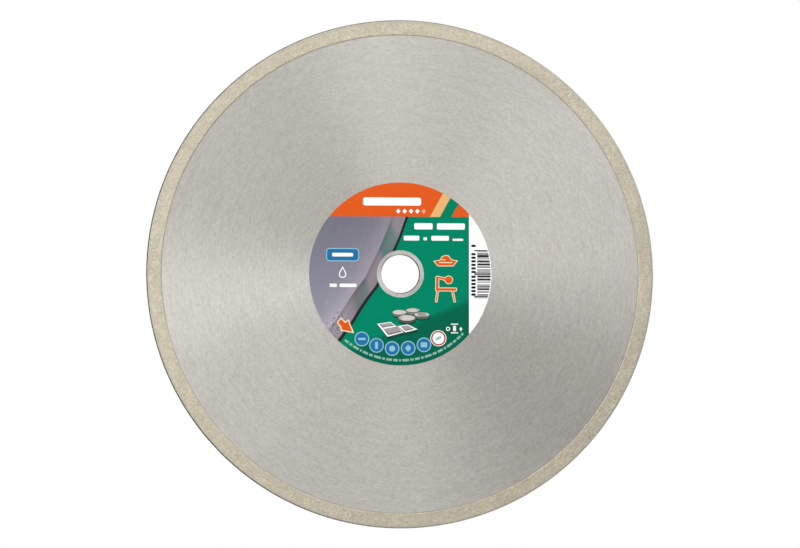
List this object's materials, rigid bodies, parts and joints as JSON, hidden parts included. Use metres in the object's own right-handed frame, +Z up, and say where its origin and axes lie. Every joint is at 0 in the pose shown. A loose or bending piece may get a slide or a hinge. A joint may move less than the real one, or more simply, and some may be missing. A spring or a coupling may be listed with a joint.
{
  "type": "diamond blade",
  "caption": "Continuous-rim diamond cutting disc for tile saws: flat steel disc, sintered diamond rim, round label on one face and a reducing ring in the bore.",
  "frame": {"origin": "centre of the blade: on the arbor axis, in the mid-plane of the steel disc", "axes": "+Y along the arbor axis from the label face to the plain back face, +Z up as the label is read, +X to the right as the label is read"},
  "size_m": [0.2, 0.0024, 0.2],
  "materials": {
    "steel_core": "ground, with fine circular lines",
    "bond_layer": "dull sintered bronze",
    "diamond_rim": "dull, rough sintered metal",
    "diamond_grit": "pale yellow crystals",
    "reducing_ring": "turned, bright",
    "label_adhesive": "clear pressure-sensitive adhesive",
    "label_film": "printed white film",
    "label_overlaminate": "clear gloss film"
  },
  "bodies": {
    "blade": {"steel_core": "steel_core", "bond_layer": "bond_layer", "diamond_rim": "diamond_rim", "diamond_grit": "diamond_grit", "label_adhesive": "label_adhesive", "label_film": "label_film", "label_overlaminate": "label_overlaminate"},
    "ring": {"reducing_ring": "reducing_ring"}
  },
  "joints": [
    {"name": "ring_push_out", "type": "slide", "parent": "blade", "child": "ring", "axis": [0, 1, 0], "range_m": [0, 0.012]}
  ]
}
